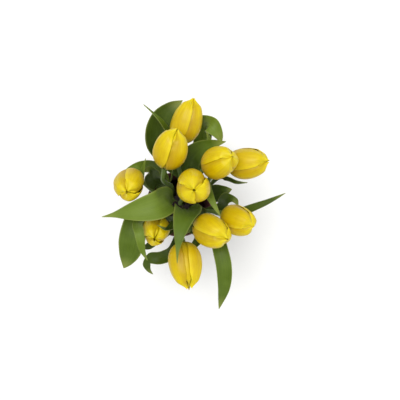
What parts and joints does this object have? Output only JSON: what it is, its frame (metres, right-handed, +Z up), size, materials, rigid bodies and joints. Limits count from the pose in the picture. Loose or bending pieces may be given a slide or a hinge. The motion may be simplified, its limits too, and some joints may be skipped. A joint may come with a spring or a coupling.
{
  "type": "bunch of cut tulips in a vase",
  "caption": "Loose bunch of closed yellow tulips with arching green leaves, standing in a round bellied vase.",
  "frame": {"origin": "centre of the vase's foot, on the surface it stands on", "axes": "+Z up along the vase's axis, +Y towards the side where the longest bloom leans out, +X to the right of it"},
  "size_m": [0.233, 0.2781, 0.3804],
  "materials": {
    "vase_glaze": "dark plum stoneware glaze, satin gloss",
    "petals": "waxy yellow petal with fine lengthwise veins, soft sheen",
    "stems": "smooth pale green stem with a waxy bloom",
    "leaves": "blue-green waxy leaf with parallel veins and paler margins"
  },
  "bodies": {
    "root": {"vase": "vase_glaze", "stem_01": "stems", "outer_petals_01": "petals", "inner_petals_01": "petals", "leaf_01a": "leaves", "leaf_01b": "leaves", "stem_02": "stems", "outer_petals_02": "petals", "inner_petals_02": "petals", "leaf_02a": "leaves", "leaf_02b": "leaves", "stem_03": "stems", "outer_petals_03": "petals", "inner_petals_03": "petals", "leaf_03a": "leaves", "leaf_03b": "leaves", "stem_04": "stems", "outer_petals_04": "petals", "inner_petals_04": "petals", "leaf_04a": "leaves", "leaf_04b": "leaves", "stem_05": "stems", "outer_petals_05": "petals", "inner_petals_05": "petals", "leaf_05a": "leaves", "leaf_05b": "leaves", "leaf_05c": "leaves", "stem_06": "stems", "outer_petals_06": "petals", "inner_petals_06": "petals", "leaf_06a": "leaves", "leaf_06b": "leaves", "stem_07": "stems", "outer_petals_07": "petals", "inner_petals_07": "petals", "leaf_07a": "leaves", "leaf_07b": "leaves", "leaf_07c": "leaves", "stem_08": "stems", "outer_petals_08": "petals", "inner_petals_08": "petals", "leaf_08a": "leaves", "leaf_08b": "leaves", "leaf_08c": "leaves", "stem_09": "stems", "outer_petals_09": "petals", "inner_petals_09": "petals", "leaf_09a": "leaves", "leaf_09b": "leaves", "stem_10": "stems", "outer_petals_10": "petals", "inner_petals_10": "petals", "leaf_10a": "leaves", "leaf_10b": "leaves"}
  },
  "joints": []
}
